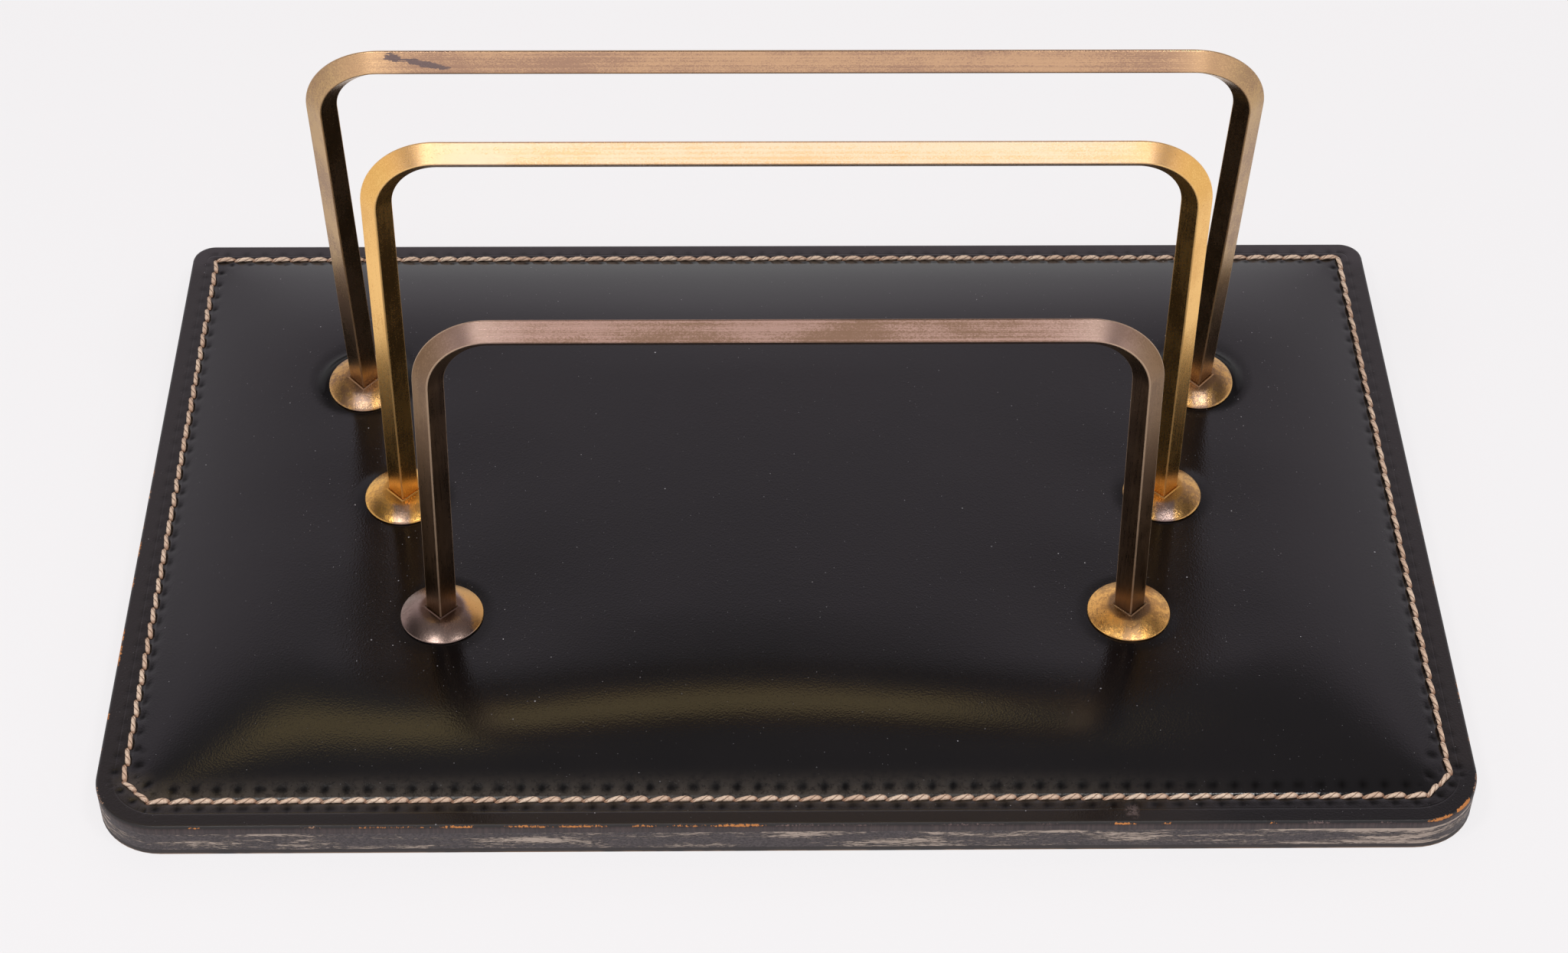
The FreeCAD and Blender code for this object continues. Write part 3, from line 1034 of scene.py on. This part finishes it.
def scuffing(places, rim):
    """How far the black has rubbed off the rim, and how tan it is there."""
    worn, hue = np.zeros(len(places)), np.zeros(len(places))
    for scuff in SCUFFS:
        away = np.hypot(places[:, 0] - scuff.x, places[:, 1] - scuff.y) / scuff.reach
        amount = scuff.amount * np.exp(-(away ** 4))
        hue = np.where(amount > worn, scuff.hue, hue)
        worn = np.maximum(worn, amount)
    return worn * fading(np.maximum(np.abs(rim) - WEAR_FLAT, 0), WEAR_REACH), hue


def nick(places):
    """Share of the three-cornered tear in the front margin."""
    depth = np.full(len(places), np.inf)
    middle = NICK.mean(axis=0)
    for start, end in zip(NICK, np.roll(NICK, -1, axis=0)):
        along = (end - start) / np.linalg.norm(end - start)
        inward = np.array([-along[1], along[0]])
        inward *= np.sign((middle - start) @ inward)
        depth = np.minimum(depth, (places[:, :2] - start) @ inward)
    return np.clip(depth / NICK_EASE + NICK_SPREAD, 0, 1)


def dust_amount(places):
    """Dust lies thinly everywhere and gathers round the feet of the hoops."""
    amount = np.full(len(places), DUST_EVERYWHERE)
    for _, _, reach in collar_reaches(places):
        amount += fading(reach, DUST_REACH)
    return np.clip(amount, 0, 1)


def leather_cover(panel):
    """One sheet over boards and padding: margin, stitch channel, padded crown and cut edge."""
    x_lines, y_lines = grid_lines(HALF_WIDTH), grid_lines(HALF_DEPTH)
    cover = primitive(
        bpy.ops.mesh.primitive_grid_add,
        "leather_cover",
        size=1.0,
        x_subdivisions=len(x_lines) - 1,
        y_subdivisions=len(y_lines) - 1,
    )
    done()
    places = points_of(cover)
    columns = np.rint((places[:, 0] + 0.5) * (len(x_lines) - 1)).astype(int)
    rows = np.rint((places[:, 1] + 0.5) * (len(y_lines) - 1)).astype(int)
    places[:, 0] = x_lines[columns]
    places[:, 1] = y_lines[rows]
    places[:, 2] = MARGIN_TOP
    set_points(cover, rounded(places))
    modify(
        cover,
        "SHRINKWRAP",
        target=panel,
        wrap_method="PROJECT",
        use_project_z=True,
        use_positive_direction=True,
        use_negative_direction=True,
    )
    places = points_of(cover)
    places[:, 2] = relief(places)
    set_points(cover, places)
    begin(cover)
    pick_open_edges()
    rim_top = MARGIN_TOP - RIM_ROUND
    for _ in range(EDGE_LEVELS):
        extrude((0, 0, (BOARD_TOP - rim_top) / EDGE_LEVELS))
    bpy.ops.mesh.edge_face_add()
    bpy.ops.mesh.select_all(action="SELECT")
    bpy.ops.mesh.normals_make_consistent(inside=False)
    done()
    bpy.ops.object.shade_smooth_by_angle(angle=SHARP)
    places = points_of(cover)
    rim = rim_distance(places)
    skirt = places[:, 2] < rim_top - TINY
    rim = np.where(skirt & (rim < SMALL), places[:, 2] - rim_top, rim)
    inside, phase = row_measure(places)
    worn, hue = scuffing(places, rim)
    marks = {
        "rim": rim * MILLIMETRES,
        "row": inside * MILLIMETRES,
        "lap_cos": np.cos(2 * math.pi * phase),
        "lap_sin": np.sin(2 * math.pi * phase),
        "wear": worn,
        "scuff_hue": hue,
        "dust": dust_amount(places),
        # The pit mark and the mark of each collar's seat carry painted shade: in the pits and in the ring
        # round the collars.
        "pit": pits(places) * (rim > 0),
        "seat": seat_shade_rings(places),
        "nick": nick(places) * (rim > 0),
    }
    for name, values in marks.items():
        attribute(cover, name, values)
    bpy.data.objects.remove(panel)
    return cover


# Stitches


StitchRing = namedtuple("StitchRing", "along girth lift")
STITCH_RINGS = (
    StitchRing(0.0, 0.44, -0.00034),
    StitchRing(0.09, 0.66, -0.00010),
    StitchRing(0.21, 0.84, 0.00008),
    StitchRing(0.36, 0.98, 0.00024),
    StitchRing(0.53, 1.06, 0.00031),
    StitchRing(0.69, 1.08, 0.00030),
    StitchRing(0.82, 0.98, 0.00020),
    StitchRing(0.93, 0.76, 0.0),
    StitchRing(1.0, 0.48, -0.00029),
)


def stitch_model():
    """One stitch along X, a unit long and turned half round: thin where it comes up, thick before it goes
    down."""
    first = STITCH_RINGS[0]
    model = primitive(
        bpy.ops.mesh.primitive_circle_add,
        "stitch",
        vertices=STITCH_SIDES,
        radius=THREAD_RADIUS * first.girth,
        rotation=(0, math.pi / 2, 0),
        location=(first.along - 0.5, 0, first.lift),
        fill_type="NGON",
    )
    done()
    settle(model, Matrix.Identity(4))
    begin(model)
    pick_edges("SELECT")
    scale_about((0, 0, first.lift), y=1 + THREAD_OVAL, z=1 - THREAD_OVAL)
    for ring, following in zip(STITCH_RINGS, STITCH_RINGS[1:]):
        step = (following.along - ring.along, 0, following.lift - ring.lift)
        centre = (following.along - 0.5, 0, following.lift)
        turn = math.pi * (following.along - ring.along)
        growth = following.girth / ring.girth
        draw_edges(step)
        scale_about(centre, y=growth, z=growth)
        bpy.ops.transform.rotate(value=turn, orient_axis="X", center_override=centre)
    bpy.ops.mesh.edge_face_add()
    finish_mesh(model, smooth=math.pi)
    lay_thread(model)
    return model


def lay_thread(model):
    """UV map of a stitch: along it, and around its axis with no seam through a face."""
    places = points_of(model)
    span = places[:, 0] + 0.5
    lift = np.interp(span, [ring.along for ring in STITCH_RINGS], [ring.lift for ring in STITCH_RINGS])
    around = np.arctan2(places[:, 2] - lift, places[:, 1]) / (2 * math.pi)
    lay = model.data.uv_layers.new(name="lay")
    for face in model.data.polygons:
        turns = around[list(face.vertices)]
        turns = np.where(turns < turns.max() - 0.5, turns + 1, turns)
        for loop, turn in zip(face.loop_indices, turns):
            lay.data[loop].uv = (span[model.data.loops[loop].vertex_index], turn)


def saddle_stitches():
    """The whole row: the same stitch at every place, each a little different."""
    model = stitch_model()
    copies = []
    for start, along, length, count in row_runs():
        heading = math.atan2(along[1], along[0]) + SLANT
        pitch = length / count
        for index in range(count):
            middle = start + along * pitch * (index + 0.5)
            piece = model.copy()
            piece.data = model.data.copy()
            bpy.context.collection.objects.link(piece)
            wobble = random.uniform(*STITCH_WOBBLES)
            stretch = pitch * STITCH_FILL * random.uniform(*STITCH_LENGTHS) / math.cos(SLANT)
            broad, high = random.uniform(*STITCH_WIDTHS), random.uniform(*STITCH_HEIGHTS)
            place = (
                Matrix.Translation((*middle, CHANNEL_FLOOR + STITCH_SEAT))
                @ Matrix.Rotation(heading + wobble, 4, "Z")
                @ Matrix.Diagonal((stretch, broad, high, 1))
            )
            piece.data.transform(place)
            attribute(piece, "tone", [random.uniform(*STITCH_TONES)] * len(piece.data.vertices))
            copies.append(piece)
    bpy.data.objects.remove(model)
    bpy.ops.object.select_all(action="DESELECT")
    for piece in copies:
        piece.select_set(True)
    bpy.context.view_layer.objects.active = copies[0]
    bpy.ops.object.join()
    copies[0].name = "saddle_stitches"
    return copies[0]


# Brass


def bent_hoop(name, hoop):
    """Square bar on the diamond: leg, bend and half the bar, mirrored, with its arrises broken."""
    slope = math.atan2(hoop.draw_in, hoop.rise)
    rising = Vector((-math.sin(slope), 0, math.cos(slope)))
    outward = Vector((math.cos(slope), 0, math.sin(slope)))
    foot = Vector((hoop.foot_half_span, 0, 0)) + rising * SOCKET_FLOOR
    corner = Vector((hoop.foot_half_span - hoop.draw_in, 0, hoop.rise))
    turn = math.pi / 2 - slope
    reach = BEND_RADIUS * math.tan(turn / 2)
    leg_end = corner - rising * reach
    bar = primitive(
        bpy.ops.mesh.primitive_circle_add,
        f"{name}_hoop_bar",
        vertices=4,
        radius=BAR_SIDE / math.sqrt(2),
        location=foot,
        rotation=(0, -slope, 0),
    )
    bpy.ops.mesh.select_all(action="SELECT")
    bpy.ops.mesh.edge_face_add()
    done()
    settle(bar, Matrix.Identity(4))
    begin(bar)
    pick_edges("SELECT")
    draw_edges(leg_end - foot)
    centre = leg_end - outward * BEND_RADIUS
    bpy.ops.mesh.spin(steps=BEND_STEPS, angle=turn, center=centre, axis=(0, 1, 0))
    draw_edges((reach - corner.x, 0, 0))
    finish_mesh(bar)
    modify(bar, "MIRROR", use_axis=(True, False, False), use_clip=True, merge_threshold=SMALL)
    modify(bar, "BEVEL", width=ARRIS, segments=3, limit_method="ANGLE", angle_limit=SHARP)
    begin(bar)
    finish_mesh(bar)
    # Faces on the broken arrises, where drawn_brass paints a pale highlight line over metal that is also
    # rubbed bright.
    worn = bar.data.attributes.new("arris", "FLOAT", "FACE")
    worn.data.foreach_set("value", [float(narrow(bar.data, face)) for face in bar.data.polygons])
    settle(bar, stand(hoop))
    return bar


def narrow(mesh, face):
    """Whether a face of a bar lies on its broken arris."""
    edges = ((mesh.vertices[start].co, mesh.vertices[end].co) for start, end in face.edge_keys)
    return min(math.dist(*edge) for edge in edges) < ARRIS


def raise_rings(radius, level, rings):
    """Draws the selected ring of edges about the Z axis through rings of other radius and level."""
    for next_radius, next_level in rings:
        draw_edges((0, 0, next_level - level))
        scale_about((0, 0, 0), next_radius / radius, next_radius / radius)
        radius, level = next_radius, next_level


def domed_collar(name, hoop, sign):
    """Domed disc, drawn up ring by ring from a circle, with a beaded square socket let into its top."""
    radius = hoop.collar_radius
    ball = (radius ** 2 + COLLAR_DOME ** 2) / (2 * COLLAR_DOME)
    half = SOCKET_SIDE / math.sqrt(2)
    mouth = half + SOCKET_CHAMFER * math.sqrt(2)

    def dome(reach):
        return COLLAR_RIM + COLLAR_DOME - ball + math.sqrt(ball ** 2 - reach ** 2)

    foot = radius - COLLAR_BREAK
    rings = [(radius, COLLAR_BREAK), (radius, COLLAR_RIM - COLLAR_BREAK)]
    for step in range(COLLAR_STEPS + 1):
        reach = foot + (COLLAR_TOP_RADIUS - foot) * step / COLLAR_STEPS
        rings.append((reach, dome(reach)))
    piece = primitive(
        bpy.ops.mesh.primitive_circle_add,
        f"collar_{name}_disc",
        vertices=COLLAR_SIDES,
        radius=foot,
        fill_type="NGON",
    )
    pick_edges("SELECT")
    raise_rings(foot, 0.0, rings)
    bead = mouth + SOCKET_BEAD * math.sqrt(2)
    lip = dome(bead)
    bpy.ops.mesh.primitive_circle_add(vertices=4, radius=bead, location=(0, 0, lip))
    bpy.ops.mesh.subdivide(number_cuts=COLLAR_SIDES // 4 - 1)
    crest = lip + SOCKET_BEAD
    raise_rings(bead, lip, [(mouth, crest), (half, crest - SOCKET_CHAMFER / 2), (half, SOCKET_FLOOR)])
    bpy.ops.mesh.edge_face_add()
    pick_open_edges()
    bpy.ops.mesh.bridge_edge_loops()
    finish_mesh(piece, smooth=math.radians(28))
    places = points_of(piece)
    attribute(piece, "across", places[:, 0] / radius)
    attribute(piece, "back", places[:, 1] / radius)
    settle(piece, stand(hoop, sign * hoop.foot_half_span))
    return piece


# Stage


def floor_finish():
    """Pale paper: nearly even where it is seen or mirrored, with the object's own soft shadow."""
    make = Finish("pale_floor")
    seen = make.node("ShaderNodeLightPath", output="Is Camera Ray")
    for kind in ("Glossy", "Transmission"):
        seen = seen.most(make.node("ShaderNodeLightPath", output=f"Is {kind} Ray"))
    paper = make.node("ShaderNodeBsdfDiffuse", None, {"Color": FLOOR_PAPER})
    even = make.node("ShaderNodeEmission", None, {"Color": FLOOR_EVEN, "Strength": 1.0})
    shader = make.node("ShaderNodeMixShader", None, {0: seen * FLOOR_EVEN_SHARE, 1: paper, 2: even})
    make.node_output(shader)
    return make.owner


def lamp(name, place, target, size, watts, colour=(1, 1, 1)):
    data = bpy.data.lights.new(name, "AREA")
    data.shape = "RECTANGLE"
    data.size, data.size_y = size
    data.energy = watts
    data.color = colour
    piece = bpy.data.objects.new(name, data)
    piece.location = place
    piece.rotation_euler = (Vector(target) - Vector(place)).to_track_quat("-Z", "Y").to_euler()
    bpy.context.collection.objects.link(piece)


ROOM_STOPS = (
    (0.0, (0.9, 0.9, 0.9)),
    (0.42, (0.92, 0.855, 0.92)),
    (0.69, (0.625, 0.555, 0.62)),
    (0.79, (0.27, 0.25, 0.262)),
)


def studio():
    """Pale floor, soft lamps overhead and in front, a warm one behind, and the room."""
    place = (0, 0, FLOOR_LEVEL)
    floor = primitive(bpy.ops.mesh.primitive_plane_add, "floor", size=FLOOR_SIZE, location=place)
    bpy.ops.mesh.subdivide(number_cuts=1)
    done()
    floor.data.materials.append(floor_finish())
    lamp("overhead_left", (-0.22, -0.23, 0.64), (-0.05, -0.03, 0), (0.15, 0.12), 0.85)
    lamp("overhead_right", (0.26, -0.27, 0.80), (0.05, -0.03, 0), (0.18, 0.15), 1.25)
    lamp("front", (0, -0.80, 0.98), (0, 0, 0.08), (1.1, 0.6), 1.9)
    lamp("warm_back", (-0.092, 0.287, 0.75), (-0.092, -0.07, 0), (0.474, 0.116), 0.205, (1.0, 0.72, 0.25))
    room()


def room():
    """The room's own light: white low down, dim above the base and darker still to the left and right."""
    world = bpy.data.worlds.new("room")
    bpy.context.scene.world = world
    make = Finish(world)
    direction = make.node("ShaderNodeTexCoord", output="Generated")
    level = make.axis("Z", direction)
    light = make.node("ShaderNodeValToRGB", {"stops": ROOM_STOPS}, {0: level})
    aside = make.ramp(abs(make.axis("X", direction)), 0.45, 0.62) * make.ramp(level, 0.48, 0.62)
    light = make.mix(aside * 0.88, light, (0.0, 0.0, 0.0))
    shader = make.node("ShaderNodeBackground", None, {"Color": light})
    make.node_output(shader, "ShaderNodeOutputWorld")


def photo_camera():
    """The photograph's place and angle."""
    data = bpy.data.cameras.new("camera")
    data.sensor_width = SENSOR_WIDTH
    data.lens = SENSOR_WIDTH * FOCAL_LENGTH / PHOTO_WIDTH
    camera = bpy.data.objects.new("camera", data)
    forward = VIEW_RIGHT.cross(VIEW_DOWN)
    axes = Matrix((VIEW_RIGHT, -VIEW_DOWN, -forward)).transposed().to_4x4()
    camera.matrix_world = Matrix.Translation(CAMERA_PLACE) @ axes
    bpy.context.collection.objects.link(camera)
    bpy.context.scene.camera = camera


# Assembly


def dress():
    cover = leather_cover(padded_panel())
    hand_over(cover, "cover_leather", cover_leather(), "top_cover", "padding")
    hand_over(saddle_stitches(), "linen_thread", linen_thread(), "stitch_thread")
    for row, hoop in HOOPS.items():
        hand_over(bent_hoop(row, hoop), "hoop_brass", drawn_brass(row), f"{row}_hoop")
        for side, sign in SIDES.items():
            name = f"{row}_{side}"
            collar = domed_collar(name, hoop, sign)
            hand_over(collar, "collar_brass", collar_brass(name), f"collar_{name}")
    solids = {
        "upper_board": fibre_board(),
        "bottom_lining": lining_leather(),
        "fixing_screws": fixing_steel(),
    }
    solids["lower_board"] = solids["upper_board"]
    solids["fixing_washers"] = solids["fixing_screws"]
    for node, material in solids.items():
        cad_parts[node].data.materials.clear()
        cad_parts[node].data.materials.append(material)


dress()
studio()
photo_camera()
bpy.context.scene.view_settings.view_transform = "Standard"
